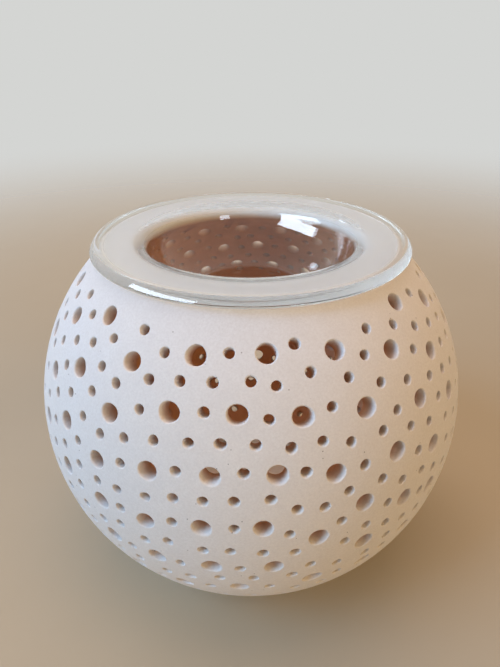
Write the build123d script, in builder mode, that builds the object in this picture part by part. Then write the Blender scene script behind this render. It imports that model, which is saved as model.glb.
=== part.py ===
from build123d import *
from math import asin, cos, degrees, radians, sin, sqrt
import os

# A round candle burner for scented oil. A pierced bisque globe stands on a flat foot,
# a tealight sits on its floor, and a clear glass dish of oil rests on its rim.
# Millimetres, +Z up, origin at the middle of the foot, front of the globe towards -Y.

# Globe
globe_diameter = 120.0
globe_wall = 5.0
centre_height = 54.4
rim_height = 100.0
lip_thickness = 5.0
mouth_diameter = 60.6
floor_thickness = 6.0
recess_depth = 1.0
foot_round = 1.2
shoulder_round = 2.4
mouth_round = 1.4
lip_round = 1.0

# Holes pierced through the globe
large_hole_diameter = 4.7
small_hole_diameter = 2.6
cut_overrun = 1.0

# Glass dish
dish_diameter = 84.6
flange_thickness = 2.2
bead_diameter = 3.2
glass_wall = 2.0
bowl_depth = 15.0
bowl_flat_diameter = 24.0
bowl_clearance = 0.9
throat_round = 2.4

# Tealight
cup_diameter = 38.0
cup_height = 15.5
foil_thickness = 0.4
cup_bead_diameter = 1.0
recess_clearance = 1.2
wax_height = 12.5
wax_clearance = 0.1
wick_diameter = 1.6
wick_height = 20.0
wick_clearance = 0.1
tab_diameter = 12.0
tab_thickness = 0.4
collar_diameter = 3.0
collar_height = 3.0

# Places of the holes on the front half, as (turn, rise) in degrees. The turn goes from
# the front towards +X, and the rise from the belly up to the rim. The rows wander,
# because each hole is pierced by hand.
large_hole_places = [
    (-76, 41), (-45, 41), (-14, 38), (4, 39), (22, 38), (49.5, 43), (66, 38.5), (85, 40),
    (-60.5, 36), (-31, 34), (39, 34.5),
    (-72.5, 27.5), (-48, 27.5), (-18.5, 26), (-3, 27), (11.5, 26), (27, 25), (54.5, 29),
    (76.5, 28.5), (92, 27.5),
    (-60.5, 21.5), (-34, 22), (44, 21.5), (59, 16.5),
    (-49, 14), (-36.5, 10), (-22.5, 12.5), (-8.5, 14), (5.5, 14.5), (18, 13), (34, 13),
    (73, 14.5), (86, 14), (99, 13.5),
    (-61, 8.5), (25, 3.5), (47.5, 8.5),
    (-49, 1.5), (-36, -1), (-23.5, -1), (-10.5, 1), (2.5, 1.5), (14.5, -3), (37, -1),
    (48, -4), (61, 2.5), (74, 1.5), (87, 1), (100, 1), (113, 0.5),
    (-62, -11.5), (-49, -12.5), (-35, -12.5), (-22.5, -13), (-9, -12), (5, -11.5),
    (26.5, -9.5), (41, -14), (55, -13.5), (68, -11.5), (81, -12), (94, -11.5),
    (107, -11.5),
    (-60, -24), (-46, -25), (-32, -25), (-18, -25.5), (-3, -22), (15, -20), (29.5, -20.5),
    (43.5, -21), (57.5, -25.5), (71.5, -24.5), (85.5, -25), (99.5, -24.5),
]
small_hole_places = [
    (-68.5, 39), (-60, 42), (-52.5, 39), (-39.5, 37), (-30.5, 41), (-22.5, 37.5),
    (-5.5, 39), (11.5, 40.5), (33.5, 40.5), (43.5, 39), (59, 42.5), (76, 42), (95, 41),
    (-75, 34), (-68, 33), (-54, 32), (-46.5, 34), (-40, 30.5), (-25, 31.5), (-17, 32.5),
    (-9, 33), (0, 33.5), (6, 32.5), (14.5, 34.5), (24, 32), (30, 35.5), (47, 32),
    (52, 36), (60, 34), (68, 32.5), (72, 36), (79, 33.5), (87.5, 34), (96, 34),
    (-67.5, 25.5), (-61.5, 29), (-54.5, 25.5), (-41, 24.5), (-34, 28.5), (-26, 25),
    (-10.5, 27), (4, 26), (18.5, 27), (32.5, 29), (41, 27), (50, 24.5), (62, 28),
    (69, 27), (84, 27.5), (100, 27.5),
    (-67.5, 19), (-49, 21), (-55.5, 18), (-42.5, 18), (-29, 18), (-21.5, 19.5),
    (-13.5, 20.5), (-6.5, 21), (1, 21), (8.5, 20), (15.5, 20.5), (22, 19), (30.5, 19),
    (35.5, 22), (52, 18.5), (57.5, 23), (64.5, 21.5), (71.5, 21), (78.5, 21.5),
    (85.5, 20.5), (92, 21), (98.5, 20), (105.5, 20.5),
    (-68, 12.5), (-61.5, 14.5), (-55, 11), (-43.5, 11.5), (-36, 16.5), (-29.5, 12),
    (-16, 14), (-1.5, 15), (11.5, 14.5), (25, 13), (39, 17), (41, 10), (46, 15),
    (54.5, 12), (66, 14.5), (79.5, 14), (92.5, 14.5), (105.5, 14),
    (-55.5, 4.5), (-49.5, 7.5), (-43, 5.5), (-36.5, 4.5), (-30.5, 5), (-23, 6),
    (-16.5, 7.5), (-10, 8), (-3.5, 8.5), (4, 9), (9.5, 6), (15.5, 5.5), (21, 8),
    (29.5, 8), (35.5, 5), (42.5, 4), (55, 5.5), (61, 9.5), (67.5, 8), (74, 8),
    (80.5, 7.5), (87, 7.5), (93.5, 8), (100, 7), (106.5, 7.5), (112.5, 6.5),
    (-61, 1.5), (-55, -1.5), (-43.5, -0.5), (-30, 0), (-17, 1), (-3.5, 1.5), (8, -0.5),
    (19.5, 0.5), (26, -3.5), (31.5, 0.5), (43, -2.5), (48, 1.5), (54.5, -1),
    (67.5, 1.5), (80.5, 1), (93.5, 1.5), (106.5, 1.5),
    (-62, -4.5), (-56.5, -7), (-50, -5.5), (-43, -6.5), (-37, -7.5), (-31, -5.5),
    (-24.5, -7.5), (-18.5, -5.5), (-10.5, -6), (-4.5, -5.5), (2.5, -6), (9.5, -6.5),
    (21, -6.5), (32, -6), (38, -8), (44, -9), (51, -9.5), (55.5, -6.5), (61.5, -4),
    (67.5, -5), (74, -5), (80.5, -5.5), (87, -5.5), (93.5, -5), (100, -5.5),
    (106.5, -5), (112.5, -6),
    (-55.5, -13), (-42.5, -12), (-29.5, -13), (-16.5, -13), (-2.5, -12), (13.5, -12.5),
    (20.5, -15), (28.5, -15.5), (34, -12), (47.5, -15.5), (61.5, -11), (74.5, -11.5),
    (87.5, -12), (100.5, -12), (112.5, -12.5),
    (-62, -17.5), (-55.5, -18.5), (-49, -19), (-42, -18), (-35.5, -19), (-29, -18.5),
    (-21.5, -20), (-15, -19), (-7.5, -17), (0.5, -16.5), (9.5, -16), (22, -21),
    (34.5, -17), (37, -22), (50, -21), (55.5, -19.5), (61.5, -17.5), (68, -18),
    (74.5, -18), (81, -18.5), (87.5, -18.5), (94, -18), (100.5, -18.5), (107, -18),
    (112.5, -19),
    (-53, -25), (-39, -25), (-25, -26), (-10.5, -23.5), (4.5, -22), (11.5, -25.5),
    (19, -26), (26, -27), (33, -26.5), (40, -27.5), (47.5, -27), (64.5, -24),
    (78.5, -24.5), (92.5, -24.5), (106.5, -25), (113, -24.5),
]

# Below the hand-placed rows the holes follow a rule: level rows that step down towards
# the foot, small holes only in one row and every second hole large in the next.
lower_row_rise = -31.5
lower_row_step = 6.2
lower_row_count = 3
lower_hole_pitch = 6.9

# Sizes that follow from the ones above
globe_radius = globe_diameter / 2
cavity_radius = globe_radius - globe_wall
mid_wall_radius = globe_radius - globe_wall / 2
mouth_radius = mouth_diameter / 2
recess_floor_height = floor_thickness - recess_depth
recess_radius = cup_diameter / 2 + recess_clearance


def corner(sketch, radius, height):
    """The corner of a profile that lies nearest to a radius and a height."""
    return sketch.vertices().sort_by_distance((radius, height))[0]


def hole_plane(turn, rise):
    """A plane through the ball's centre that faces straight out along a hole."""
    outwards = Vector(
        cos(radians(rise)) * sin(radians(turn)),
        -cos(radians(rise)) * cos(radians(turn)),
        sin(radians(rise)),
    )
    return Plane(origin=(0, 0, 0), z_dir=outwards)


def drill(diameter):
    """A rod on +Z that passes through the ball's wall, to cut one hole when it is turned."""
    with BuildPart() as rod:
        with BuildSketch(Plane.XZ):
            with Locations((diameter / 4, mid_wall_radius)):
                Rectangle(diameter / 2, globe_wall + 2 * cut_overrun)
        revolve(axis=Axis.Z)
    return rod.part


def both_halves(places):
    """The holes of the front half, and the same holes half a turn round the globe."""
    return [hole_plane(turn + half, rise) for half in (0, 180) for turn, rise in places]


def lower_rows(every_second_large):
    """The holes of the level rows, either the large ones or the small ones."""
    planes = []
    for row in range(lower_row_count):
        rise = lower_row_rise - row * lower_row_step
        pairs = round(180 * cos(radians(rise)) / lower_hole_pitch)
        for hole in range(2 * pairs):
            is_large = row % 2 == 1 and hole % 2 == 0
            if is_large == every_second_large:
                planes.append(hole_plane((hole + row / 2) * 180 / pairs, rise))
    return planes


os.makedirs("parts", exist_ok=True)

# Globe: a hollow ball cut level at the foot and at the mouth, with a flat rim that the
# dish rests on and a shallow recess in the floor that keeps the tealight in the middle.
# It is made around the ball's centre, so that every hole's axis runs through the origin,
# and then lifted onto its foot.
foot_level = -centre_height
rim_level = rim_height - centre_height
lip_level = rim_level - lip_thickness
floor_level = foot_level + floor_thickness
recess_level = floor_level - recess_depth
foot_angle = degrees(asin(foot_level / globe_radius))
rim_angle = degrees(asin(rim_level / globe_radius))
lip_angle = degrees(asin(lip_level / cavity_radius))
floor_angle = degrees(asin(floor_level / cavity_radius))
foot_radius = globe_radius * cos(radians(foot_angle))
rim_radius = globe_radius * cos(radians(rim_angle))

large_drill = drill(large_hole_diameter)
small_drill = drill(small_hole_diameter)

with BuildPart() as pierced_ball:
    with BuildSketch(Plane.XZ) as wall_profile:
        with BuildLine():
            outside = CenterArc((0, 0), globe_radius, foot_angle, rim_angle - foot_angle)
            Polyline(outside @ 0, (0, foot_level), (0, recess_level))
            inside = CenterArc((0, 0), cavity_radius, floor_angle, lip_angle - floor_angle)
            Polyline(
                outside @ 1, (mouth_radius, rim_level), (mouth_radius, lip_level), inside @ 1
            )
            Polyline(
                inside @ 0,
                (recess_radius, floor_level),
                (recess_radius, recess_level),
                (0, recess_level),
            )
        make_face()
        fillet(corner(wall_profile, foot_radius, foot_level), foot_round)
        fillet(corner(wall_profile, rim_radius, rim_level), shoulder_round)
        fillet(corner(wall_profile, mouth_radius, rim_level), mouth_round)
        fillet(corner(wall_profile, mouth_radius, lip_level), lip_round)
    revolve(axis=Axis.Z)
    with Locations(*both_halves(large_hole_places), *lower_rows(True)):
        add(large_drill, mode=Mode.SUBTRACT)
    with Locations(*both_halves(small_hole_places), *lower_rows(False)):
        add(small_drill, mode=Mode.SUBTRACT)

with BuildPart() as pierced_globe:
    with Locations((0, 0, centre_height)):
        add(pierced_ball.part)

pierced_globe.part.label = "pierced_globe"
export_step(pierced_globe.part, "parts/pierced_globe.step")

# Oil dish: a clear glass bowl that hangs in the mouth, with a level flange that lies on
# the rim and a thick rounded edge that stands out past it.
dish_radius = dish_diameter / 2
bead_radius = bead_diameter / 2
flange_top = rim_height + flange_thickness
flange_middle = rim_height + flange_thickness / 2
throat_radius = mouth_radius - bowl_clearance
bowl_flat_radius = bowl_flat_diameter / 2
bowl_reach = throat_radius - bowl_flat_radius
bowl_curve_radius = (bowl_reach**2 + bowl_depth**2) / (2 * bowl_depth)
bowl_underside = rim_height - bowl_depth
bowl_floor = bowl_underside + glass_wall
bowl_curve_height = bowl_underside + bowl_curve_radius
inner_curve_radius = bowl_curve_radius - glass_wall
inner_rise = flange_top - bowl_curve_height
inner_throat_radius = bowl_flat_radius + sqrt(inner_curve_radius**2 - inner_rise**2)
under_flange_round = mouth_round + bowl_clearance / 2

with BuildPart() as oil_dish:
    with BuildSketch(Plane.XZ) as dish_profile:
        with BuildLine():
            Polyline(
                (0, bowl_floor), (0, bowl_underside), (bowl_flat_radius, bowl_underside)
            )
            RadiusArc(
                (bowl_flat_radius, bowl_underside),
                (throat_radius, rim_height),
                -bowl_curve_radius,
            )
            Polyline(
                (throat_radius, rim_height),
                (dish_radius - bead_radius, rim_height),
                (dish_radius - bead_radius, flange_top),
                (inner_throat_radius, flange_top),
            )
            RadiusArc(
                (inner_throat_radius, flange_top),
                (bowl_flat_radius, bowl_floor),
                inner_curve_radius,
            )
            Line((bowl_flat_radius, bowl_floor), (0, bowl_floor))
        make_face()
        fillet(corner(dish_profile, throat_radius, rim_height), under_flange_round)
        fillet(corner(dish_profile, inner_throat_radius, flange_top), throat_round)
        with Locations((dish_radius - bead_radius, flange_middle)):
            Circle(bead_radius)
    revolve(axis=Axis.Z)

oil_dish.part.label = "oil_dish"
export_step(oil_dish.part, "parts/oil_dish.step")

# Tealight: a thin metal cup of wax. The wick stands on the cup's floor, held upright by
# the collar of a small round tab that the wax buries.
cup_radius = cup_diameter / 2
cup_inner_radius = cup_radius - foil_thickness
cup_floor = recess_floor_height + foil_thickness
cup_top = recess_floor_height + cup_height
cup_bead_radius = cup_bead_diameter / 2
wick_radius = wick_diameter / 2
wick_bore_radius = wick_radius + wick_clearance
tab_radius = tab_diameter / 2
tab_top = cup_floor + tab_thickness
collar_radius = collar_diameter / 2

with BuildPart() as tealight_cup:
    with BuildSketch(Plane.XZ):
        with BuildLine():
            Polyline(
                (0, recess_floor_height),
                (cup_radius, recess_floor_height),
                (cup_radius, cup_top - cup_bead_radius),
                (cup_inner_radius, cup_top - cup_bead_radius),
                (cup_inner_radius, cup_floor),
                (0, cup_floor),
                close=True,
            )
        make_face()
        with Locations((cup_radius - foil_thickness / 2, cup_top - cup_bead_radius)):
            Circle(cup_bead_radius)
    revolve(axis=Axis.Z)

tealight_cup.part.label = "tealight_cup"
export_step(tealight_cup.part, "parts/tealight_cup.step")

with BuildPart() as wick_tab:
    with BuildSketch(Plane.XY.offset(cup_floor)):
        Circle(tab_radius)
    extrude(amount=tab_thickness)
    with BuildSketch(Plane.XY.offset(tab_top)):
        Circle(collar_radius)
    extrude(amount=collar_height - tab_thickness)
    with BuildSketch(Plane.XY.offset(cup_floor)):
        Circle(wick_bore_radius)
    extrude(amount=collar_height, mode=Mode.SUBTRACT)

wick_tab.part.label = "wick_tab"
export_step(wick_tab.part, "parts/wick_tab.step")

with BuildPart() as tealight_wax:
    with BuildSketch(Plane.XY.offset(cup_floor)):
        Circle(cup_inner_radius - wax_clearance)
        Circle(wick_bore_radius, mode=Mode.SUBTRACT)
    extrude(amount=wax_height)
    with BuildSketch(Plane.XY.offset(cup_floor)):
        Circle(tab_radius + wax_clearance)
    extrude(amount=tab_thickness + wax_clearance, mode=Mode.SUBTRACT)
    with BuildSketch(Plane.XY.offset(cup_floor)):
        Circle(collar_radius + wax_clearance)
    extrude(amount=collar_height + wax_clearance, mode=Mode.SUBTRACT)

tealight_wax.part.label = "tealight_wax"
export_step(tealight_wax.part, "parts/tealight_wax.step")

with BuildPart() as wick:
    with BuildSketch(Plane.XY.offset(cup_floor)):
        Circle(wick_radius)
    extrude(amount=wick_height)

wick.part.label = "wick"
export_step(wick.part, "parts/wick.step")
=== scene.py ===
# %% [markdown]
# # A pierced oil burner
# A round burner of unglazed white clay stands on a flat foot. Its wall is pierced all
# over, a tealight stands inside, and a clear glass dish for water and scented oil rests
# on its rim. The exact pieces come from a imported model. This lesson gives them the looks:
# soft hole edges, grainy clay, real glass, crimped foil, wax and a twisted wick.

# %% Load the exact model
import math

import bpy
import numpy as np
from mathutils import Matrix, Vector


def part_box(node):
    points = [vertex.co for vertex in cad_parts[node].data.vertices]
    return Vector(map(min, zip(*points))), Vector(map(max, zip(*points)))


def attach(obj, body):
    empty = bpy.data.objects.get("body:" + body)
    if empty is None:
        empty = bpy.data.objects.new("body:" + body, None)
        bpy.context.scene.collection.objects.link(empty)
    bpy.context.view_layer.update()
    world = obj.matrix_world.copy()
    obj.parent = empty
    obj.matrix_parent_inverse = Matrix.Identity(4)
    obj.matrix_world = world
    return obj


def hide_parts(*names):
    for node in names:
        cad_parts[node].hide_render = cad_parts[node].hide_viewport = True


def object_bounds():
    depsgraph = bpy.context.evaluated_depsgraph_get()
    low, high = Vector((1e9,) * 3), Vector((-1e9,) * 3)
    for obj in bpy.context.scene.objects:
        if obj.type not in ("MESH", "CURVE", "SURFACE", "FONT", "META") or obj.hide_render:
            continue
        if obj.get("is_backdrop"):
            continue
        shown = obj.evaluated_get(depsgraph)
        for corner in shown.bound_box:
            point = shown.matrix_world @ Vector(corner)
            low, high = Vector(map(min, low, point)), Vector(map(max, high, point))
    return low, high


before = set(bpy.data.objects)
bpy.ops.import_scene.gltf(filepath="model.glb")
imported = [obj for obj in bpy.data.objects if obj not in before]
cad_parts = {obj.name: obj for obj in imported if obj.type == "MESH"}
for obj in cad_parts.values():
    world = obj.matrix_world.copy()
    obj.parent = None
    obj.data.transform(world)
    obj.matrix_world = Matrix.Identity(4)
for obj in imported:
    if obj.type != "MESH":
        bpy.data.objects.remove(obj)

cad_low, cad_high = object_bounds()
mm = 0.001
print("pieces in the model:", sorted(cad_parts))
print("size in mm:", [round(side / mm, 1) for side in cad_high - cad_low])

# %% [markdown]
# ## Sizes
# Every size below is read from the model or is a named value in millimetres, so that the
# dressed pieces sit exactly where the plain ones do. The ball's middle isn't at half its
# height, because the ball is cut flat at the foot and at the mouth. It is found from the
# corners at the widest part of the wall. On a ball, the square of a corner's distance
# from the origin grows evenly with its height, by twice the height of the middle.

# %% Read the main sizes
def rows_of(items, value):
    """A place or a direction from each item of a mesh, as rows of x, y and z."""
    numbers = np.empty(len(items) * 3, np.float32)
    items.foreach_get(value, numbers)
    return numbers.reshape(-1, 3)


globe_low, globe_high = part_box("pierced_globe")
dish_low, dish_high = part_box("oil_dish")
cup_low, cup_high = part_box("tealight_cup")
wax_low, wax_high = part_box("tealight_wax")
wick_low, wick_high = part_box("wick")

globe_radius = (globe_high.x - globe_low.x) / 2
rim_height = globe_high.z
belly_share = 0.95
places = rows_of(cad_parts["pierced_globe"].data.vertices, "co").astype(float)
across = np.hypot(places[:, 0], places[:, 1])
belly = places[across > belly_share * globe_radius]
belly_squares = (belly**2).sum(axis=1)
ball_middle = Vector((0, 0, np.polyfit(belly[:, 2], belly_squares, 1)[0] / 2))
print("ball radius", round(globe_radius / mm, 2), "middle at", round(ball_middle.z / mm, 2))

wall = 5.0 * mm
cavity_radius = globe_radius - wall
mouth_radius = 30.3 * mm
floor_height = 6.0 * mm
recess_height = cup_low.z
recess_radius = 20.2 * mm

# %% [markdown]
# ## The camera
# The picture was taken from above and close to the burner, so near things look larger.
# The camera's distance is a share of the ball's radius. One angle tells how steeply the
# camera stands above the ball's middle, and another how far it is tilted down. The lens
# is wide, and the sensor's width lies along the long, upright side of the picture.

# %% Set up the camera
camera_distance_share = 2.9704
camera_rise = math.radians(33.46)
camera_tilt = math.radians(28.66)
camera_roll = math.radians(0.18)
picture_height = 667
focal_pixels = 577
sensor_width = 36.0
nearest_seen = 10 * mm

camera_distance = camera_distance_share * globe_radius
camera_place = ball_middle + camera_distance * Vector(
    (0, -math.cos(camera_rise), math.sin(camera_rise))
)
bpy.ops.object.select_all(action="DESELECT")
bpy.ops.object.camera_add(
    location=camera_place, rotation=(math.pi / 2 - camera_tilt, camera_roll, 0)
)
camera = bpy.context.object
camera.data.sensor_width = sensor_width
camera.data.lens = sensor_width * focal_pixels / picture_height
camera.data.clip_start = nearest_seen
bpy.context.scene.camera = camera
print("camera at", [round(side / mm, 1) for side in camera_place], "mm")

# %% [markdown]
# ## Helpers for turned pieces
# Almost every piece here is round, so it can be made as a potter makes it: an outline is
# drawn once and turned about the upright axis. In Blender that is a single corner, moved
# to the first point of the outline, extruded from point to point, and then spun.

# %% Draw outlines and turn them
def select_only(piece):
    """Make one object the only selected one, and the active one."""
    bpy.ops.object.select_all(action="DESELECT")
    piece.select_set(True)
    bpy.context.view_layer.objects.active = piece


def arc(middle, radius, start, end, steps):
    """Points of an arc in an outline, from one angle to another, in degrees."""
    angles = [math.radians(start + (end - start) * k / steps) for k in range(steps + 1)]
    return [
        (middle[0] + radius * math.cos(a), middle[1] + radius * math.sin(a))
        for a in angles
    ]


def angle_to(start, end):
    """The angle in degrees at which one point of an outline sees another."""
    return math.degrees(math.atan2(end[1] - start[1], end[0] - start[0]))


def turned(name, outline, steps):
    """A new piece: an outline of (radius, height) points, spun about the upright axis."""
    bpy.ops.object.select_all(action="DESELECT")
    bpy.ops.mesh.primitive_plane_add(size=mm)
    piece = bpy.context.object
    piece.name = piece.data.name = name
    bpy.ops.object.mode_set(mode="EDIT")
    bpy.ops.mesh.select_all(action="SELECT")
    bpy.ops.mesh.merge(type="CENTER")
    bpy.ops.transform.translate(value=(outline[0][0], 0, outline[0][1]))
    for (radius, height), (next_radius, next_height) in zip(outline, outline[1:]):
        step = (next_radius - radius, 0, next_height - height)
        bpy.ops.mesh.extrude_region_move(TRANSFORM_OT_translate={"value": step})
    bpy.ops.mesh.select_all(action="SELECT")
    bpy.ops.mesh.spin(steps=steps, angle=math.tau, center=(0, 0, 0), axis=(0, 0, 1))
    bpy.ops.mesh.select_all(action="SELECT")
    bpy.ops.mesh.remove_doubles(threshold=merge_distance)
    bpy.ops.mesh.normals_make_consistent(inside=False)
    bpy.ops.object.mode_set(mode="OBJECT")
    return piece


def smooth(piece, degrees):
    """Shade a piece smoothly, but keep the edges that are sharper than an angle."""
    select_only(piece)
    bpy.ops.object.shade_smooth_by_angle(angle=math.radians(degrees))


merge_distance = 0.001 * mm

# %% [markdown]
# ## Where the holes are
# The potter pierced the wall by hand, so the holes follow no formula. Their places are
# read from the model instead. The wall of a straight hole faces sideways, square to the
# line from the ball's middle. Part of the mouth's rounded edge does too, but it lies
# higher than any hole. The faces that are left are gathered into islands, one for each
# hole. The axis of a hole is then the one direction that none of its island's faces
# look along.

# %% Find the faces inside the holes
highest_lean = 0.2
steepest_rise = 0.75


def wall_faces(node):
    """The triangles of a model piece that face sideways, seen from the ball's middle."""
    select_only(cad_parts[node])
    bpy.ops.object.duplicate()
    probe = bpy.context.object
    bpy.ops.object.mode_set(mode="EDIT")
    bpy.ops.mesh.select_all(action="SELECT")
    bpy.ops.mesh.remove_doubles(threshold=merge_distance)
    bpy.ops.object.mode_set(mode="OBJECT")
    corner_places = rows_of(probe.data.vertices, "co") - np.array(ball_middle)
    triangles = np.array([f.vertices for f in probe.data.polygons])
    bpy.data.objects.remove(probe)
    sides = corner_places[triangles]
    facing = np.cross(sides[:, 1] - sides[:, 0], sides[:, 2] - sides[:, 0])
    outwards = sides.mean(axis=1)
    outwards /= np.linalg.norm(outwards, axis=1, keepdims=True)
    lean = np.abs((facing * outwards).sum(axis=1)) / np.linalg.norm(facing, axis=1)
    kept = (lean < highest_lean) & (np.abs(outwards[:, 2]) < steepest_rise)
    return corner_places, triangles[kept], facing[kept]


# %% Read the holes
sorting_digits = 3


def islands_of(count, triangles):
    """A number for each triangle, which is the same for triangles that hang together."""
    labels = np.arange(count)
    changed = True
    while changed:
        lowest = labels[triangles].min(axis=1)
        before = labels.copy()
        for corners in triangles.T:
            np.minimum.at(labels, corners, lowest)
        changed = (labels != before).any()
    return labels[triangles[:, 0]]


def rank_of(hole):
    """Where a hole comes in the order: from the foot up, and then round the ball."""
    axis = hole[0]
    return (round(axis.z, sorting_digits), round(math.atan2(axis.x, axis.y), sorting_digits))


def holes_of(node):
    """The axis and the radius of each hole, in order."""
    corner_places, triangles, facing = wall_faces(node)
    island = islands_of(len(corner_places), triangles)
    found = []
    for label in np.unique(island):
        own = island == label
        _, directions = np.linalg.eigh(facing[own].T @ facing[own])
        rim = corner_places[np.unique(triangles[own])]
        axis = directions[:, 0] * np.sign(rim.mean(axis=0) @ directions[:, 0])
        aside = rim - np.outer(rim @ axis, axis)
        found.append((Vector(axis), np.linalg.norm(aside, axis=1).mean()))
    return sorted(found, key=rank_of)


holes = holes_of("pierced_globe")
split_radius = (min(r for _, r in holes) + max(r for _, r in holes)) / 2
large_count = sum(radius > split_radius for _, radius in holes)
print(len(holes), "holes,", large_count, "of them large")
print("radii in mm:", sorted({round(radius / mm, 2) for _, radius in holes}))

# %% [markdown]
# ## The clay shell
# The shell is one turned wall: up the outside of the ball, over the flat rim, down through
# the mouth and back round the inside to the floor, where a shallow recess keeps the
# tealight in the middle. Rounds at the foot and the rim keep it from looking machined.
# The lip of the mouth is thinned from below, as a potter's thumb leaves it: its round
# nose runs into a straight slope, which is followed until it meets the cavity.

# %% Turn the shell
foot_round = 1.2 * mm
shoulder_round = 2.4 * mm
lip_round = 2.0 * mm
lip_undercut = 60.0
recess_round = 0.4 * mm
shell_turns = 160
ball_steps = 48
cavity_steps = 36
lip_steps = 10
shoulder_steps = 5
foot_steps = 4
recess_steps = 3

ball = (0, ball_middle.z)


def round_inside_ball(radius, height):
    """The middle of a round that touches the ball from inside, at a height."""
    reach = globe_radius - radius
    return (math.sqrt(reach**2 - (height - ball_middle.z) ** 2), height)


foot_corner = round_inside_ball(foot_round, foot_round)
shoulder = round_inside_ball(shoulder_round, rim_height - shoulder_round)
foot_angle = angle_to(ball, foot_corner)
shoulder_angle = angle_to(ball, shoulder)
lip_middle = (mouth_radius + lip_round, rim_height - lip_round)
lip_end = arc(lip_middle, lip_round, 0, 180 + lip_undercut, 1)[-1]
along = (math.sin(math.radians(lip_undercut)), -math.cos(math.radians(lip_undercut)))
beside = lip_end[0] * along[0] + (lip_end[1] - ball_middle.z) * along[1]
beyond = cavity_radius**2 - lip_end[0] ** 2 - (lip_end[1] - ball_middle.z) ** 2
reach = math.sqrt(beside**2 + beyond) - beside
roof_edge = (lip_end[0] + reach * along[0], lip_end[1] + reach * along[1])
lip_angle = angle_to(ball, roof_edge)
floor_angle = math.degrees(math.asin((floor_height - ball_middle.z) / cavity_radius))
recess_corner = (recess_radius + recess_round, floor_height - recess_round)

shell_outline = [
    (0, 0),
    *arc(foot_corner, foot_round, -90, foot_angle, foot_steps),
    *arc(ball, globe_radius, foot_angle, shoulder_angle, ball_steps)[1:],
    *arc(shoulder, shoulder_round, shoulder_angle, 90, shoulder_steps)[1:],
    *arc(lip_middle, lip_round, 90, 180 + lip_undercut, lip_steps),
    *arc(ball, cavity_radius, lip_angle, floor_angle, cavity_steps),
    *arc(recess_corner, recess_round, 90, 180, recess_steps),
    (recess_radius, recess_height),
    (0, recess_height),
]
shell = turned("clay_shell", shell_outline, shell_turns)
print(len(shell.data.polygons), "faces before the holes")

# %% [markdown]
# ## Piercing the holes
# A hole made in soft clay isn't a clean cylinder. Its outer edge is rolled over where the
# tool went in and the rim was wiped with a wet sponge, and no hole is quite round. So the
# cutter is turned with a flare at its outer end, like a trumpet. It is modelled once for
# each size, and every copy is then squeezed a little out of round by its own amount.
# The flare meets the ball at an angle instead of touching it, because a boolean cuts
# cleanly only where surfaces cross.

# %% Model a cutter
flare_end = 64.0
flare_steps = 2
inner_chamfer = 0.35 * mm
cutter_overrun = 1.2 * mm


def hole_cutter(name, radius, flare, sides):
    """A cutter that stands on +Z from the ball's middle, with a trumpet at its outer end."""
    top = math.sqrt(globe_radius**2 - (radius + flare) ** 2)
    inner = math.sqrt(cavity_radius**2 - radius**2)
    rounded = arc((radius + flare, top - flare), flare, 180, 180 - flare_end, flare_steps)
    slope = math.tan(math.radians(90 - flare_end))
    last_radius, last_height = rounded[-1]
    outline = [
        (0, inner - cutter_overrun),
        (radius + inner_chamfer + cutter_overrun, inner - cutter_overrun),
        (radius, inner + inner_chamfer),
        *rounded,
        (last_radius + cutter_overrun, last_height + cutter_overrun * slope),
        (0, last_height + cutter_overrun * slope),
    ]
    return turned(name, outline, sides)


shrinkage_share = 0.93
large_flare = 0.42 * mm
small_flare = 0.32 * mm
large_sides = 18
small_sides = 12
large_radius = shrinkage_share * max(radius for _, radius in holes)
small_radius = shrinkage_share * min(radius for _, radius in holes)
large_cutter = hole_cutter("large_cutter", large_radius, large_flare, large_sides)
small_cutter = hole_cutter("small_cutter", small_radius, small_flare, small_sides)
print("faces of a cutter:", len(large_cutter.data.polygons), len(small_cutter.data.polygons))

# %% Copy the cutters to the holes
seed = 7
rng = np.random.default_rng(seed)
oval_share = 0.035
wobble_share = 0.02
wobble_lobes = 3
size_share = 0.05
lean_degrees = 1.6


def out_of_round(cutter):
    """Squeeze a cutter out of round and change its size a little, all along its length."""
    oval, wobble = rng.normal(0, oval_share), rng.normal(0, wobble_share)
    turn, wobble_turn = rng.uniform(0, math.tau, 2)
    size = 1 + rng.uniform(-size_share, size_share)
    for corner in cutter.data.vertices:
        angle = math.atan2(corner.co.y, corner.co.x)
        stretch = size + oval * math.cos(2 * (angle - turn))
        stretch += wobble * math.cos(wobble_lobes * (angle - wobble_turn))
        corner.co.x *= stretch
        corner.co.y *= stretch


def copy_to_hole(master, axis):
    """A copy of a cutter that stands in one hole, leaning a little as a hand would."""
    cutter = master.copy()
    cutter.data = master.data.copy()
    bpy.context.collection.objects.link(cutter)
    out_of_round(cutter)
    lean = Matrix.Rotation(math.radians(rng.normal(0, lean_degrees)), 4, "X")
    spin = Matrix.Rotation(rng.uniform(0, math.tau), 4, "Z")
    pivot = Matrix.Translation((0, 0, globe_radius))
    aim = axis.to_track_quat("Z", "Y").to_matrix().to_4x4()
    place = Matrix.Translation(ball_middle) @ aim
    cutter.data.transform(place @ pivot @ lean @ pivot.inverted() @ spin)
    return cutter


cutters = []
for axis, radius in holes:
    master = large_cutter if radius > split_radius else small_cutter
    cutters.append(copy_to_hole(master, axis))
for master in (large_cutter, small_cutter):
    bpy.data.objects.remove(master)
select_only(cutters[0])
for cutter in cutters:
    cutter.select_set(True)
bpy.ops.object.join()
piercing = bpy.context.object
print(len(piercing.data.polygons), "faces in all the cutters")

# %% Cut them all at once
def cut(piece, tool):
    """Take a tool's shape out of a piece, and throw the tool away."""
    select_only(piece)
    modifier = piece.modifiers.new("cut", "BOOLEAN")
    modifier.operation = "DIFFERENCE"
    modifier.solver = "MANIFOLD"
    modifier.object = tool
    bpy.ops.object.modifier_apply(modifier=modifier.name)
    bpy.data.objects.remove(tool)


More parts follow.
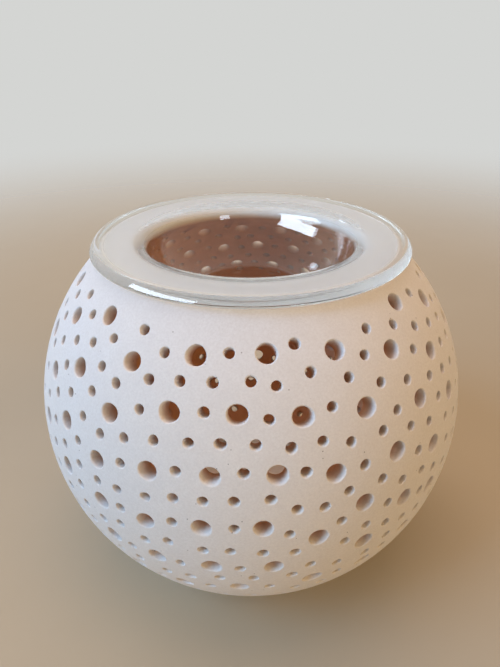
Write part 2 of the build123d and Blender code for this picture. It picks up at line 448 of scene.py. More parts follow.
cut(shell, piercing)
print(len(shell.data.polygons), "faces after the holes")

# %% [markdown]
# ## Shading a pierced ball
# The cuts leave long thin faces round every hole. Smooth shading mixes the directions of
# neighbouring faces, so such faces show as dark streaks. The true direction is known: on a
# ball it points away from the middle. It is written onto each corner of the ball's faces,
# and all other corners keep what smooth shading gives them.

# %% Give the ball its true directions
def shade_as_ball(piece, tolerance):
    """Set the shading of corners that lie on the ball or in its cavity."""
    smooth(piece, degrees=50)
    mesh = piece.data
    directions = rows_of(mesh.corner_normals, "vector")
    corners = np.empty(len(mesh.loops), np.int32)
    mesh.loops.foreach_get("vertex_index", corners)
    outwards = (rows_of(mesh.vertices, "co") - np.array(ball_middle))[corners]
    reach = np.linalg.norm(outwards, axis=1)
    outwards /= reach[:, None]
    for radius, sign in ((globe_radius, 1), (cavity_radius, -1)):
        on_it = np.abs(reach - radius) < tolerance
        directions[on_it] = sign * outwards[on_it]
    mesh.normals_split_custom_set(directions.tolist())


shade_as_ball(shell, tolerance=0.03 * mm)
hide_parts("pierced_globe")
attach(shell, "globe")

# %% [markdown]
# ## The glass dish
# The dish is pressed glass: a shallow bowl that hangs in the mouth, a flat flange that
# lies on the clay, and a thick rounded edge. Glass shows its shape only through
# reflections and bent light, so a corner that is drawn too sharp shows at once as a dark
# line. The outline is therefore made of true arcs that run into each other, and it is
# turned with many steps. A torus and a disc could be joined instead, but they would leave
# a crease where the edge meets the flange.

# %% Sizes of the dish
flange_thickness = 2.2 * mm
glass_wall = 2.0 * mm
bowl_flat_radius = 12.0 * mm
throat_radius = 29.4 * mm
throat_round = 4.4 * mm
under_round = 2.4 * mm
dish_turns = 192
bowl_steps = 20
throat_steps = 12
round_steps = 8
bend_steps = 6

flange_top = rim_height + flange_thickness
bowl_depth = rim_height - dish_low.z
bowl_reach = throat_radius - bowl_flat_radius
outer_curve = (bowl_reach**2 + bowl_depth**2) / (2 * bowl_depth)
inner_curve = outer_curve - glass_wall
bowl_middle = (bowl_flat_radius, dish_low.z + outer_curve)
print("the bowl curves with a radius of", round(outer_curve / mm, 1), "mm")


# %% Helpers for its curves
def round_beside(middle, reach, height):
    """The middle of a round at a height, outside a circle and a reach from its middle."""
    return (middle[0] + math.sqrt(reach**2 - (height - middle[1]) ** 2), height)


def towards(middle, reach, angle):
    """The point at a reach from another, in a direction in degrees."""
    return arc(middle, reach, angle, angle, 1)[0]


def step_inwards(start, rise, run):
    """An S-shaped step towards the middle, up or down: two arcs that meet halfway."""
    turn = 2 * math.degrees(math.atan(abs(rise) / run))
    bend = run / (2 * math.sin(math.radians(turn)))
    way = 1 if rise > 0 else -1
    first_middle = (start[0], start[1] + way * bend)
    last_middle = (start[0] - run, start[1] + rise - way * bend)
    first = arc(first_middle, bend, -way * 90, -way * (90 + turn), bend_steps)
    return first + arc(last_middle, bend, way * (90 - turn), way * 90, bend_steps)[1:]


# %% [markdown]
# ### Its rounded edge
# The edge is like the stave of a barrel: a broad face, only slightly curved, that leans
# back and so mirrors the window, with a small round below it and a larger one, the crest,
# above it. Two arcs run smoothly into each other where their middles lie on one line with
# the point at which they meet. So each smaller round's middle is found by going from the
# face's middle towards that point. Soft steps lead from the crest and from the foot of
# the edge to the flange's two faces.

# %% Place the rounds of the edge
crest_rise = 0.15 * mm
face_round = 5.0 * mm
crest_round = 1.0 * mm
low_round = 0.35 * mm
face_top = 42.0
face_bottom = 22.0
face_steps = 12
step_run = 1.5 * mm

edge_top = flange_top + crest_rise
crest_above_face = (face_round - crest_round) * math.sin(math.radians(face_top))
low_beyond_face = (face_round - low_round) * math.cos(math.radians(face_bottom))
face = (
    dish_high.x - low_round - low_beyond_face,
    edge_top - crest_round - crest_above_face,
)
crest = towards(face, face_round - crest_round, face_top)
low = towards(face, face_round - low_round, face_bottom)
edge_foot = (low[0], low[1] - low_round)
under = round_beside(bowl_middle, outer_curve + under_round, rim_height - under_round)
throat = round_beside(bowl_middle, inner_curve + throat_round, flange_top - throat_round)
print("the edge is", round((edge_top - edge_foot[1]) / mm, 2), "mm thick")

# %% Turn the dish
dish_outline = [
    (0, dish_low.z),
    (bowl_flat_radius / 2, dish_low.z),
    *arc(bowl_middle, outer_curve, -90, angle_to(bowl_middle, under), bowl_steps),
    *arc(under, under_round, angle_to(under, bowl_middle), 90, round_steps)[1:],
    *reversed(step_inwards(edge_foot, rim_height - edge_foot[1], step_run)),
    *arc(low, low_round, -90, face_bottom, round_steps)[1:],
    *arc(face, face_round, face_bottom, face_top, face_steps)[1:],
    *arc(crest, crest_round, face_top, 90, round_steps)[1:],
    *step_inwards((crest[0], edge_top), flange_top - edge_top, step_run)[1:],
    *arc(throat, throat_round, 90, angle_to(throat, bowl_middle), throat_steps),
    *arc(bowl_middle, inner_curve, angle_to(bowl_middle, throat), -90, bowl_steps)[1:],
    (bowl_flat_radius / 2, bowl_middle[1] - inner_curve),
    (0, bowl_middle[1] - inner_curve),
]
dish = turned("glass_dish", dish_outline, dish_turns)
smooth(dish, degrees=60)
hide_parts("oil_dish")
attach(dish, "dish")
print("dish", round(dish_high.x * 2 / mm, 1), "mm across,", len(dish.data.polygons), "faces")

# %% [markdown]
# ## The tealight
# A tealight is a pressed foil cup with a rolled rim, filled with wax. Pressing the flat
# foil into a cup leaves fine upright flutes in its wall. They are made by pushing every
# second column of corners out a little. Wax that has cooled in the cup clings to the
# foil and to the wick, so its top is dished between them.

# %% Turn the foil cup
foil = 0.4 * mm
rolled_radius = 0.5 * mm
cup_bottom_round = 0.9 * mm
flutes = 72
flute_depth = 0.12 * mm
cup_radius = cup_high.x - rolled_radius + foil / 2
rolled_middle = (cup_radius - foil / 2, cup_high.z - rolled_radius)
bottom_middle = (cup_radius - cup_bottom_round, cup_low.z + cup_bottom_round)
bottom_steps = 5
wall_levels = 4
rolled_steps = 14
rolled_start = -70
rolled_end = 250
rolled_gap_share = 1.2
wall_top = rolled_middle[1] - rolled_gap_share * rolled_radius
wall_bottom = bottom_middle[1]
wall_rise = (wall_top - wall_bottom) / wall_levels

cup_outline = [
    (0, cup_low.z),
    *arc(bottom_middle, cup_bottom_round, -90, 0, bottom_steps),
    *[(cup_radius, wall_bottom + k * wall_rise) for k in range(1, wall_levels + 1)],
    *arc(rolled_middle, rolled_radius, rolled_start, rolled_end, rolled_steps),
    *[(cup_radius - foil, wall_top - k * wall_rise) for k in range(wall_levels + 1)],
    *arc(bottom_middle, cup_bottom_round - foil, 0, -90, bottom_steps)[1:],
    (0, cup_low.z + foil),
]
cup = turned("foil_cup", cup_outline, 2 * flutes)

# %% Press the flutes
select_only(cup)
bpy.ops.object.mode_set(mode="EDIT")
bpy.ops.mesh.select_all(action="DESELECT")
bpy.ops.object.mode_set(mode="OBJECT")
column = math.tau / (2 * flutes)
for corner in cup.data.vertices:
    number = round(math.atan2(corner.co.y, corner.co.x) / column)
    on_wall = wall_bottom < corner.co.z < wall_top - merge_distance
    corner.select = on_wall and number % 2 == 0
bpy.ops.object.mode_set(mode="EDIT")
bpy.ops.mesh.select_mode(type="VERT")
flute_share = 1 + flute_depth / cup_radius
bpy.ops.transform.resize(value=(flute_share, flute_share, 1), center_override=(0, 0, 0))
bpy.ops.object.mode_set(mode="OBJECT")
smooth(cup, degrees=40)
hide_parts("tealight_cup")
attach(cup, "tealight")
print("foil cup with", flutes, "flutes,", len(cup.data.polygons), "faces")

# %% Pour the wax
wax_radius = wax_high.x
wick_radius = wick_high.x
wick_room = 0.05 * mm
bore_radius = wick_radius + wick_room
tab_room = 6.1 * mm
tab_room_height = 0.5 * mm
collar_room = 1.6 * mm
collar_room_height = 3.1 * mm
wax_dish = 0.55 * mm
cling = 1.6 * mm
wick_cling_share = 0.7
wax_foot_round = cup_bottom_round
wax_foot_middle = (wax_radius - wax_foot_round, wax_low.z + wax_foot_round)
wax_foot_steps = 4
wax_turns = 96
surface_steps = 26


def wax_level(radius):
    """The height of the wax: high where it clings to the foil and to the wick."""
    at_foil = math.exp(-(wax_radius - radius) / cling)
    at_wick = wick_cling_share * math.exp(-(radius - bore_radius) / cling)
    return wax_high.z - wax_dish * (1 - min(1, at_foil + at_wick))


surface_shares = [math.sin(math.pi / 2 * k / surface_steps) for k in range(surface_steps + 1)]
surface_width = wax_radius - bore_radius
surface_radii = [wax_radius - (1 - share) * surface_width for share in surface_shares]
wax_outline = [
    (bore_radius, wax_low.z + collar_room_height),
    (collar_room, wax_low.z + collar_room_height),
    (collar_room, wax_low.z + tab_room_height),
    (tab_room, wax_low.z + tab_room_height),
    (tab_room, wax_low.z),
    *arc(wax_foot_middle, wax_foot_round, -90, 0, wax_foot_steps),
    *[(radius, wax_level(radius)) for radius in reversed(surface_radii)],
    (bore_radius, wax_low.z + collar_room_height),
]
wax = turned("wax_fill", wax_outline, wax_turns)
smooth(wax, degrees=40)
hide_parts("tealight_wax")
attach(wax, "tealight")
print("wax from", round(wax_low.z / mm, 1), "to", round(wax_high.z / mm, 1), "mm up")

# %% [markdown]
# ## The wick
# A tealight's wick is a thin plaited cotton cord, stiff with wax. A disc with three
# lobes is extruded upwards ring by ring. Each ring is turned a little further, so that
# the three strands wind round each other, and above the wax each ring also moves a
# little to the side, because a wick never stands quite straight.

# %% Wind the wick
strands = 3
strand_corners = 8
strand_depth_share = 0.16
wick_rings = 56
turns_of_wick = 4.5
lean_of_tip = 0.9 * mm
tip_share = 0.8

bpy.ops.object.select_all(action="DESELECT")
bpy.ops.mesh.primitive_circle_add(
    vertices=strands * strand_corners,
    radius=wick_radius,
    fill_type="NGON",
    location=(0, 0, 0),
)
wick = bpy.context.object
wick.name = wick.data.name = "cotton_wick"
for corner in wick.data.vertices:
    angle = math.atan2(corner.co.y, corner.co.x)
    dent = strand_depth_share * (1 - abs(math.cos(strands / 2 * angle)))
    corner.co = corner.co * (1 - dent)
    corner.co.z = wick_low.z

bpy.ops.object.mode_set(mode="EDIT")
bpy.ops.mesh.select_all(action="SELECT")
ring_rise = (wick_high.z - wick_low.z) / wick_rings
ring_turn = math.tau * turns_of_wick / wick_rings
aside = 0.0
for ring in range(wick_rings):
    height = wick_low.z + (ring + 1) * ring_rise
    above_wax = max(0, (height - wax_high.z) / (wick_high.z - wax_high.z))
    shift = lean_of_tip * above_wax**2 - aside
    aside += shift
    bpy.ops.mesh.extrude_region_move(TRANSFORM_OT_translate={"value": (shift, 0, ring_rise)})
    bpy.ops.transform.rotate(
        value=ring_turn, orient_axis="Z", center_override=(aside, 0, height)
    )
bpy.ops.transform.resize(
    value=(tip_share, tip_share, 1), center_override=(aside, 0, wick_high.z)
)
bpy.ops.mesh.select_all(action="SELECT")
bpy.ops.mesh.normals_make_consistent(inside=False)
bpy.ops.object.mode_set(mode="OBJECT")
smooth(wick, degrees=60)
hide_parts("wick")
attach(wick, "tealight")
print("wick with", len(wick.data.polygons), "faces, tip at", round(wick_high.z / mm, 1), "mm")

# %% [markdown]
# ## Helpers for finishes
# A finish is a small network of nodes, and a few helpers keep the networks short. Most
# of them add one node with its settings and its inputs. Colours are written as they look
# on a screen, from 0 to 255, and changed to the linear values that light needs. All
# patterns are placed by Object coordinates, in metres, so a pattern with a scale of 1000
# has grains about a millimetre wide.

# %% Add nodes and colours
def linear(share):
    """One channel of a screen colour, from 0 to 1, taken through the sRGB curve."""
    return share / 12.92 if share <= 0.04045 else ((share + 0.055) / 1.055) ** 2.4


def colour(red, green, blue):
    """A screen colour from 0 to 255 as the linear colour that nodes use."""
    return (linear(red / 255), linear(green / 255), linear(blue / 255), 1.0)


def finish_named(name):
    """A new material, its Principled shader and the place of each point on the piece."""
    material = bpy.data.materials.new(name)
    material.use_nodes = True
    place = add(material, "TexCoord")
    return material, material.node_tree.nodes["Principled BSDF"], (place, "Object")


def feed(material, socket, value):
    """Give a socket a value, or join it to another node's output."""
    if isinstance(value, tuple) and isinstance(value[0], bpy.types.Node):
        material.node_tree.links.new(value[0].outputs[value[1]], socket)
    else:
        socket.default_value = value


def add(material, kind, inputs=None, **settings):
    """A new node with its settings and inputs."""
    node = material.node_tree.nodes.new("ShaderNode" + kind)
    for name, value in settings.items():
        setattr(node, name, value)
    for name, value in (inputs or {}).items():
        feed(material, node.inputs[name], value)
    return node


# %% Helpers for patterns
def length_of(material, vector):
    """The length of a vector."""
    return (add(material, "VectorMath", {"Vector": vector}, operation="LENGTH"), "Value")


def height_of(material, place):
    """How high each point lies."""
    return (add(material, "SeparateXYZ", {"Vector": place}), "Z")


def noise(material, place, grain, detail=3.0, roughness=0.55):
    """Noise with grains of about a given width in metres."""
    inputs = {"Vector": place, "Scale": 1 / grain, "Detail": detail, "Roughness": roughness}
    return (add(material, "TexNoise", inputs), "Fac")


def spread(material, value, band, wanted=(0, 1)):
    """Stretch the part of a value that lies in a band to the wanted range."""
    inputs = {
        "Value": value,
        "From Min": band[0],
        "From Max": band[1],
        "To Min": wanted[0],
        "To Max": wanted[1],
    }
    return (add(material, "MapRange", inputs), "Result")


def mixed(material, share, first, second):
    """Two colours mixed by a share. A Mix node has inputs for numbers and vectors too."""
    share_input, first_colour, second_colour, colour_output = 0, 6, 7, 2
    node = add(material, "Mix", data_type="RGBA")
    feed(material, node.inputs[share_input], share)
    feed(material, node.inputs[first_colour], first)
    feed(material, node.inputs[second_colour], second)
    return (node, colour_output)


def maths(material, operation, first, second):
    """One sum of two values."""
    node = add(material, "Math", operation=operation)
    feed(material, node.inputs[0], first)
    feed(material, node.inputs[1], second)
    return (node, 0)


def bumped(material, height, depth, strength, under=None):
    """Bumps of a depth in metres, on top of other bumps."""
    inputs = {"Height": height, "Distance": depth, "Strength": strength}
    if under:
        inputs["Normal"] = under
    return (add(material, "Bump", inputs), "Normal")


def dress(piece, material):
    """Give a piece one material and nothing else."""
    piece.data.materials.clear()
    piece.data.materials.append(material)


# %% [markdown]
# ## Bisque clay
# Bisque is clay that has been fired once and not glazed. It is matt and slightly open:
# fine grog makes it grainy, tiny specks of iron show through, and its colour drifts
# gently from warm white to a pinkish cream. Inside the ball, on the lip's inner face and
# down the walls of the holes, the colour is painted darker and warmer as painted shade of
# the hollow. How far a point lies from the ball's middle tells inside from outside, and
# the rim counts as outside too.

# %% Colours and patterns of the clay
warm_white = colour(238, 234, 231)
cream = colour(240, 233, 225)
pinkish = colour(231, 224, 218)
grog = colour(220, 212, 205)
# Painted shade of the hollow, in two tones mixed by a cloud pattern.
painted_hollow_shade = colour(238, 188, 146)
painted_deep_shade = colour(224, 172, 130)
iron = colour(112, 92, 78)

drift_size = 38 * mm
cloud_size = 6 * mm
cloud_share = 0.5
grain_size = 0.55 * mm
grain_depth = 0.07 * mm
grit_shares = (0.0, 0.5)
dent_size = 9 * mm
dent_depth = 0.25 * mm
pore_spacing = 1.3 * mm
pore_reach = (0.02, 0.14)
pore_depth = 0.06 * mm
speck_spacing = 2.4 * mm
speck_reach = (0.045, 0.075)
speck_chance = 0.3
speck_share = 0.75

wide_band = (0.3, 0.7)
narrow_band = (0.35, 0.65)
clay_roughness = (0.82, 0.95)
clay_shine = 0.28
unshaded_skin = 1.0 * mm
unshaded_lip_share = 0.8
# The painted shade fades out from the cavity to just under the ball's skin.
shade_depth_band = (cavity_radius, globe_radius - unshaded_skin)
rim_band = (lip_end[1], rim_height - unshaded_lip_share * lip_round)
print("painted shade fades out from", round(shade_depth_band[0] / mm, 1), "mm off the middle")


# %% Make the clay
def unshaded_share(clay, place):
    """How far a point is left without painted shade: 0 deep in the hollow, 1 outside."""
    lowered = {"Vector": place, "Location": (0, 0, -ball_middle.z)}
    reach = length_of(clay, (add(clay, "Mapping", lowered), "Vector"))
    in_wall = spread(clay, reach, shade_depth_band)
    in_rim = spread(clay, height_of(clay, place), rim_band)
    return maths(clay, "MAXIMUM", in_wall, in_rim)


def iron_specks(clay, place):
    """Where the specks are: small spots in some of the cells of a cell pattern."""
    speck = add(clay, "TexVoronoi", {"Vector": place, "Scale": 1 / speck_spacing})
    chance = add(clay, "SeparateColor", {"Color": (speck, "Color")})
    rare = maths(clay, "LESS_THAN", (chance, "Red"), speck_chance)
    close = spread(clay, (speck, "Distance"), speck_reach, (1, 0))
    return maths(clay, "MULTIPLY", rare, close)


def make_clay():
    clay, shader, place = finish_named("bisque_clay")
    drift = spread(clay, noise(clay, place, drift_size, detail=2.0), narrow_band)
    cloud = spread(clay, noise(clay, place, cloud_size, detail=4.0), wide_band)
    grain = noise(clay, place, grain_size, detail=5.0, roughness=0.7)
    grit = spread(clay, grain, narrow_band, grit_shares)
    base = mixed(clay, drift, warm_white, cream)
    base = mixed(clay, maths(clay, "MULTIPLY", cloud, cloud_share), base, pinkish)
    base = mixed(clay, grit, base, grog)
    # Painted shade: darker, warmer colour inside the hollow, on the lip's inner face and in the
    # holes.
    base = mixed(clay, unshaded_share(clay, place), mixed(clay, cloud, painted_hollow_shade, painted_deep_shade), base)
    specks = maths(clay, "MULTIPLY", iron_specks(clay, place), speck_share)
    base = mixed(clay, specks, base, iron)

    pore = add(clay, "TexVoronoi", {"Vector": place, "Scale": 1 / pore_spacing})
    pit = spread(clay, (pore, "Distance"), pore_reach)
    bumps = bumped(clay, noise(clay, place, dent_size, detail=2.0), dent_depth, strength=0.5)
    bumps = bumped(clay, grain, grain_depth, strength=0.6, under=bumps)
    bumps = bumped(clay, pit, pore_depth, strength=0.5, under=bumps)
    feed(clay, shader.inputs["Base Color"], base)
    feed(clay, shader.inputs["Roughness"], spread(clay, grain, wide_band, clay_roughness))
    feed(clay, shader.inputs["Normal"], bumps)
    shader.inputs["Specular IOR Level"].default_value = clay_shine
    return clay


dress(shell, make_clay())
print("clay on", shell.name)

# %% [markdown]
# ## Clear glass
# Glass bends light by its refractive index, about 1.5 for pressed glass, and that is
# nearly all there is to it. Pressed glass is also very slightly wavy, which makes its
# reflections swim, and fingers leave faint smears. Where the dish lies on the rough clay,
# years of lifting and setting down have rubbed its underside dull. Without that, light
# would be trapped between the flange's two flat faces and show the dark inside of the
# ball in the edge.

# %% Find where the clay rubs the glass
rubbed_roughness = 0.5
rubbed_level = 0.05 * mm
polished_level = 0.3 * mm
rubbed_run_in = 0.6 * mm
rubbed_fade = 1.0 * mm
rubbed_heights = (rim_height + rubbed_level, rim_height + polished_level)
rubbed_start = (throat_radius - rubbed_run_in, mouth_radius)
rubbed_end = (shoulder[0], shoulder[0] + rubbed_fade)
print("the clay rubs the glass out to", round(rubbed_end[0] / mm, 1), "mm")


def stretched(material, place, scale):
    """Places stretched or squeezed along each axis."""
    return (add(material, "Mapping", {"Vector": place, "Scale": scale}), "Vector")


def from_axis(material, place):
    """How far each point lies from the upright axis."""
    return length_of(material, stretched(material, place, (1, 1, 0)))


def rubbed_underside(glass, place, radius):
    """How dull the glass is: only under the flange, as far out as it touches the clay."""
    below = spread(glass, height_of(glass, place), rubbed_heights, (1, 0))
    beyond = spread(glass, radius, rubbed_start)
    within = spread(glass, radius, rubbed_end, (1, 0))
    rubbed = maths(glass, "MULTIPLY", maths(glass, "MULTIPLY", below, beyond), within)
    return maths(glass, "MULTIPLY", rubbed, rubbed_roughness)


# %% [markdown]
# ### Light that only passes through
# Light that has been bent by glass is slow to find for a renderer. So rays that only ask
# whether a lamp can be seen, and rays that gather soft light for the clay, go straight
# through the glass. They are dimmed by as much as its two faces mirror away, which grows
# with the fifth power of how slanted the face is. The rounded edge works as a lens and
# throws light aside, so less of it, and warmer, is let through there: it leaves the soft
# shade on the clay below. A faint tint inside the glass makes long ways through it a
# little darker, as iron does in real glass.

# %% Make the glass
clear_white = colour(252, 253, 253)
straight_through = colour(254, 255, 254)
thrown_aside = colour(236, 228, 214)
black = colour(0, 0, 0)
iron_tint = colour(222, 223, 216)
iron_density = 5.0
glass_index = 1.5
mirror_power = 5
wave_size = 11 * mm
wave_depth = 0.12 * mm
smear_size = 14 * mm
smear_band = (0.55, 0.8)
smear_roughness = (0.0, 0.06)
edge_band = (crest[0] - step_run, crest[0])


def blended(material, share, first, second):
    """Two shaders mixed by a share."""
    node = add(material, "MixShader")
    for number, value in enumerate((share, first, second)):
        feed(material, node.inputs[number], value)
    return (node, "Shader")


def make_glass():
    glass, shader, place = finish_named("clear_glass")
    wave = noise(glass, place, wave_size, detail=1.5)
    smears = noise(glass, place, smear_size, detail=5.0, roughness=0.65)
    smear = spread(glass, smears, smear_band, smear_roughness)
    radius = from_axis(glass, place)
    dullness = maths(glass, "MAXIMUM", smear, rubbed_underside(glass, place, radius))
    shader.inputs["Base Color"].default_value = clear_white
    shader.inputs["Transmission Weight"].default_value = 1.0
    shader.inputs["IOR"].default_value = glass_index
    feed(glass, shader.inputs["Roughness"], dullness)
    feed(glass, shader.inputs["Normal"], bumped(glass, wave, wave_depth, strength=0.15))

    slant = add(glass, "LayerWeight", {"Blend": 0.5})
    mirrored = maths(glass, "POWER", (slant, "Facing"), mirror_power)
    in_edge = spread(glass, radius, edge_band)
    passed = mixed(glass, in_edge, straight_through, thrown_aside)
    passed = mixed(glass, mirrored, passed, black)
    clear = add(glass, "BsdfTransparent", {"Color": passed})
    path = add(glass, "LightPath")
    surface = (shader, "BSDF")
    for kind in ("Is Shadow Ray", "Is Diffuse Ray"):
        surface = blended(glass, (path, kind), surface, (clear, "BSDF"))
    output = glass.node_tree.nodes["Material Output"]
    feed(glass, output.inputs["Surface"], surface)
    dimming = add(glass, "VolumeAbsorption", {"Color": iron_tint, "Density": iron_density})
    feed(glass, output.inputs["Volume"], (dimming, "Volume"))
    return glass


dress(dish, make_glass())
print("glass on", dish.name)

# %% [markdown]
# ## Foil, wax, cotton and tin
# The tealight's foil is bright aluminium, scuffed where the press held it. Wax is
# slightly see-through, so light goes in and comes out softened. Cotton has a dull sheen
# and fine fibres along its strands. The tab under the wick is tinned sheet steel.

# %% Make the foil
dull_foil = colour(214, 215, 217)
bright_foil = colour(232, 232, 231)
foil_roughness = (0.2, 0.42)
scuff_stretch = (1, 1, 0.12)
scuff_size = 0.5 * mm
scuff_depth = 0.02 * mm
crease_size = 5 * mm
crease_depth = 0.15 * mm


def make_foil():
    finish, shader, place = finish_named("tealight_foil")
    drawn = stretched(finish, place, scuff_stretch)
    scuff = noise(finish, drawn, scuff_size, detail=4.0, roughness=0.65)
    crease = noise(finish, place, crease_size)
    bumps = bumped(finish, crease, crease_depth, strength=0.4)
    bumps = bumped(finish, scuff, scuff_depth, strength=0.5, under=bumps)
    feed(finish, shader.inputs["Base Color"], mixed(finish, crease, dull_foil, bright_foil))
    feed(finish, shader.inputs["Roughness"], spread(finish, scuff, wide_band, foil_roughness))
    feed(finish, shader.inputs["Normal"], bumps)
    shader.inputs["Metallic"].default_value = 1.0
    return finish


dress(cup, make_foil())
print("foil on", cup.name)

# %% Make the wax
clear_wax = colour(244, 240, 230)
frosted_wax = colour(237, 232, 219)
wax_roughness = (0.3, 0.48)
frost_size = 3 * mm
dimple_size = 5 * mm
dimple_depth = 0.2 * mm
light_inside = 0.35
light_reach = (2.4 * mm, 2.0 * mm, 1.5 * mm)


def make_wax():
    finish, shader, place = finish_named("candle_wax")
    frost = spread(finish, noise(finish, place, frost_size, detail=4.0), wide_band)
    dimples = noise(finish, place, dimple_size, detail=2.0)
    feed(finish, shader.inputs["Base Color"], mixed(finish, frost, clear_wax, frosted_wax))
    feed(finish, shader.inputs["Roughness"], spread(finish, frost, (0, 1), wax_roughness))
    feed(finish, shader.inputs["Normal"], bumped(finish, dimples, dimple_depth, strength=0.5))
    shader.inputs["Subsurface Weight"].default_value = light_inside
    shader.inputs["Subsurface Radius"].default_value = light_reach
    shader.inputs["Subsurface Scale"].default_value = 1.0
    return finish


dress(wax, make_wax())
print("wax finish on", wax.name)

# %% Make the cotton
shaded_cotton = colour(214, 207, 192)
pale_cotton = colour(243, 239, 229)
cotton_roughness = (0.6, 0.85)
cotton_sheen = 0.4
fibre_stretch = (1, 1, 0.3)
fibre_size = 0.12 * mm
fibre_depth = 0.05 * mm


def make_cotton():
    finish, shader, place = finish_named("wick_cotton")
    along = stretched(finish, place, fibre_stretch)
    fibre = noise(finish, along, fibre_size, detail=4.0, roughness=0.7)
    feed(finish, shader.inputs["Base Color"], mixed(finish, fibre, shaded_cotton, pale_cotton))
    feed(finish, shader.inputs["Roughness"], spread(finish, fibre, wide_band, cotton_roughness))
    feed(finish, shader.inputs["Normal"], bumped(finish, fibre, fibre_depth, strength=0.8))
    shader.inputs["Sheen Weight"].default_value = cotton_sheen
    return finish


dress(wick, make_cotton())
print("cotton on", wick.name)

# %% Make the tin
dark_tin = colour(178, 178, 174)
pale_tin = colour(206, 205, 200)
tin_roughness = (0.28, 0.45)
brush_stretch = (1, 0.1, 1)
brush_size = 0.25 * mm
brush_depth = 0.02 * mm


def make_tin():
    finish, shader, place = finish_named("wick_tab_tin")
    line = noise(finish, stretched(finish, place, brush_stretch), brush_size, detail=4.0)
    feed(finish, shader.inputs["Base Color"], mixed(finish, line, dark_tin, pale_tin))
    feed(finish, shader.inputs["Roughness"], spread(finish, line, wide_band, tin_roughness))
    feed(finish, shader.inputs["Normal"], bumped(finish, line, brush_depth, strength=0.4))
    shader.inputs["Metallic"].default_value = 1.0
    return finish


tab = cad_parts["wick_tab"]
tin = make_tin()
for material_slot in tab.material_slots:
    material_slot.material = tin
print("tin on", tab.name)

# %% [markdown]
# ## Floor, air and lamps
# The burner stands on a plain pale floor, which fades into a pale backdrop behind it. It
# is lit as in a bright room: cool light from a window and the sky on the left, warm light
# from the room on the right and from the ceiling, and a little from behind, so that the
# back isn't dark. These lamps are broad and soft, and modest enough that a colour renders
# about as it is written. They light the clay but don't show in the glass. Three glints do
# the opposite: they are the bright panes that glass mirrors, and light nothing. A broad
# lamp could do both, but then its size would have to suit both, and it never does.

# %% Lay the floor
floor_radius = 4.0
floor_corners = 96
floor_clear = (0.15, 0.75)
floor_roughness = 0.75
floor_shine = 0.2
sand = colour(184, 169, 144)
pale_sand = colour(190, 176, 152)
mottle_size = 60 * mm
bpy.ops.object.select_all(action="DESELECT")
bpy.ops.mesh.primitive_circle_add(
    vertices=floor_corners, radius=floor_radius, fill_type="NGON"
)
floor = bpy.context.object
floor.name = "floor"


def make_floor():
    finish, shader, place = finish_named("pale_floor")
    mottle = noise(finish, place, mottle_size)
    feed(finish, shader.inputs["Base Color"], mixed(finish, mottle, sand, pale_sand))
    shader.inputs["Roughness"].default_value = floor_roughness
    shader.inputs["Specular IOR Level"].default_value = floor_shine
    gone = spread(finish, length_of(finish, place), floor_clear)
    gone[0].interpolation_type = "SMOOTHERSTEP"
    nothing = add(finish, "BsdfTransparent")
    surface = blended(finish, gone, (shader, "BSDF"), (nothing, "BSDF"))
    feed(finish, finish.node_tree.nodes["Material Output"].inputs["Surface"], surface)
    return finish


dress(floor, make_floor())
floor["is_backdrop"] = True
print("the floor fades out from", floor_clear[0], "to", floor_clear[1], "m")

# %% [markdown]
# ## Lamps
# Each lamp is placed by its direction from the ball's middle and faces it, so its
# strength can be changed without aiming it again. Ray visibility decides whether it
# lights dull surfaces or is a glint, which only shows in glass.

# %% Fill the room with light
def lamp(name, direction, distance, size, strength, tint, glint=False):
    """A lamp that faces the ball. It lights dull surfaces, or only shines in glass."""
    place = ball_middle + distance * Vector(direction).normalized()
    bpy.ops.object.select_all(action="DESELECT")
    bpy.ops.object.light_add(type="AREA", location=place)
    made = bpy.context.object
    made.name = name
    made.data.shape = "RECTANGLE"
    made.data.size, made.data.size_y = size
    made.data.energy = strength
    made.data.color = tint
    made.visible_camera = False
    made.visible_diffuse = not glint
    made.visible_glossy = glint
    made.visible_transmission = glint
    made.rotation_euler = (ball_middle - place).to_track_quat("-Z", "Y").to_euler()


daylight = (0.66, 0.83, 1.0)
sky_blue = (0.32, 0.60, 1.0)
pane = (0.7, 0.84, 1.0)
wall_white = (1.0, 0.86, 0.76)
back_warm = (1.0, 0.82, 0.66)
ceiling_warm = (1.0, 0.74, 0.60)
room_warm = (1.0, 0.62, 0.20)

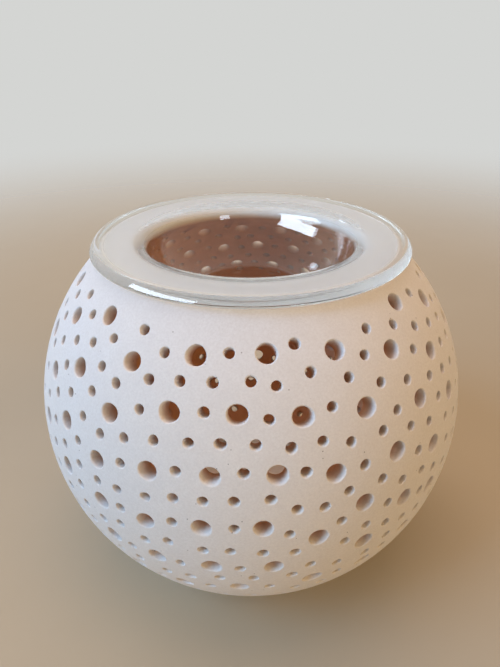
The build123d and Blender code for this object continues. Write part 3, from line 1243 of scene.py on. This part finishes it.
# Name, direction, distance in metres, width and height, strength in watts, and tint
lamp("window", (-0.85, -0.55, 0.27), 1.3, (0.6, 0.45), 4.6, daylight)
lamp("sky", (-0.75, -0.40, 0.75), 1.3, (0.6, 0.6), 8.5, sky_blue)
lamp("back_wall", (-0.7, 0.6, 0.45), 1.4, (0.9, 0.9), 4.6, wall_white)
lamp("back_room", (0.3, 1.0, 0.3), 1.5, (1.0, 0.8), 2.4, back_warm)
lamp("ceiling", (0, 0.1, 1), 1.4, (1.2, 1.2), 9.0, ceiling_warm)
lamp("room", (0.8, -0.7, 0.58), 1.6, (1.4, 1.2), 9.3, room_warm)
lamp("window_glint", (-0.89, -0.46, 0.44), 1.3, (1.15, 0.4), 21.0, pane, glint=True)
lamp("back_glint", (-0.5, 0.8, 0.75), 1.4, (0.2, 0.13), 0.5, pane, glint=True)
lamp("small_glint", (0.6, -0.95, 0.36), 1.3, (0.26, 0.06), 0.6, pane, glint=True)

# %% Set the backdrop and the soft light all round
air_strength = 0.15
backdrop_grey = colour(212, 213, 211)
world = bpy.data.worlds.new("pale_room")
bpy.context.scene.world = world
world.use_nodes = True
air = world.node_tree.nodes["Background"]
air.inputs["Color"].default_value = (1, 1, 1, 1)
air.inputs["Strength"].default_value = air_strength
backdrop = add(world, "Background", {"Color": backdrop_grey})
seen = add(world, "LightPath")
shown = maths(world, "MAXIMUM", (seen, "Is Camera Ray"), (seen, "Is Glossy Ray"))
shown = maths(world, "MAXIMUM", shown, (seen, "Is Transmission Ray"))
choice = blended(world, shown, (air, "Background"), (backdrop, "Background"))
feed(world, world.node_tree.nodes["World Output"].inputs["Surface"], choice)
bpy.context.scene.view_settings.view_transform = "Standard"
bounces = bpy.context.scene.cycles
bounces.max_bounces = 32
bounces.glossy_bounces = 24
bounces.transmission_bounces = 24
bounces.transparent_max_bounces = 24
print("light may bounce", bounces.max_bounces, "times")

# %% [markdown]
# ## Sizes at the end
# The last step prints the size of the dressed burner and that of the exact model.

# %% Print the sizes
dressed_low, dressed_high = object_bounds()
sizes = {
    "cad": [list(cad_low), list(cad_high)],
    "visual": [list(dressed_low), list(dressed_high)],
}
for name, (low, high) in sizes.items():
    print(name, [round(value / mm, 2) for value in (*low, *high)])
